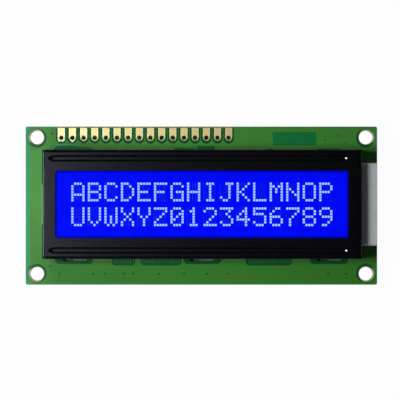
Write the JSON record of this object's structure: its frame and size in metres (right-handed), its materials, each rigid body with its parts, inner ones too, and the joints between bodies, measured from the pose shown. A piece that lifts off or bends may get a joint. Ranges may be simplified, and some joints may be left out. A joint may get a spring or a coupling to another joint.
{
  "type": "character LCD module",
  "caption": "Flat character display module: framed blue window with dot characters, clamped by a folded sheet bezel to a green circuit board with corner holes and a row of header holes.",
  "frame": {"origin": "centre of the four corner mounting holes, on the board's back face", "axes": "+X along the board's length with the header row at the upper left, +Y across the board towards the header row, +Z out of the display face"},
  "size_m": [0.08, 0.036, 0.011],
  "materials": {
    "solder_mask": "green solder mask over glass-epoxy laminate",
    "gold_finish": "thin gold on copper",
    "black_steel": "satin black paint on sheet steel",
    "display_blue": "polarizer film, lit saturated blue from behind",
    "display_pixels": "lit dots of the display, pale cyan",
    "clear_glass": "ground glass edges",
    "seal_resin": "cured resin",
    "polarizer_film": "grey film",
    "strip_rubber": "layered silicone rubber",
    "white_plastic": "moulded white plastic, slightly translucent",
    "clear_acrylic": "clear acrylic",
    "diffuser_white": "diffusing film",
    "reflector_white": "white reflecting film",
    "lamp_resin": "clear resin over a yellow converter",
    "tinned_metal": "bright tin",
    "solder": "bright solder",
    "black_resin": "self-levelled black resin",
    "silicon": "polished silicon",
    "resistor_black": "black glaze",
    "capacitor_tan": "fired ceramic"
  },
  "bodies": {
    "root": {"circuit_board": "solder_mask", "header_pads": "gold_finish", "contact_fingers": "gold_finish", "bezel": "black_steel", "front_polarizer": "display_blue", "front_glass": "clear_glass", "cell_seal": "seal_resin", "fill_port_plug": "seal_resin", "rear_glass": "clear_glass", "rear_polarizer": "polarizer_film", "upper_contact_strip": "strip_rubber", "lower_contact_strip": "strip_rubber", "backlight_tray": "white_plastic", "light_guide": "clear_acrylic", "diffuser_film": "diffuser_white", "reflector_film": "reflector_white", "lamp_board": "solder_mask", "lamps": "lamp_resin", "backlight_leads": "tinned_metal", "lead_solder": "solder", "controller_drop": "black_resin", "driver_drop": "black_resin", "controller_die": "silicon", "driver_die": "silicon", "bias_resistors": "resistor_black", "oscillator_resistor": "resistor_black", "backlight_resistors": "resistor_black", "capacitors": "capacitor_tan", "chip_end_caps": "tinned_metal", "chip_solder": "solder", "chip_pads": "solder"}
  },
  "joints": []
}
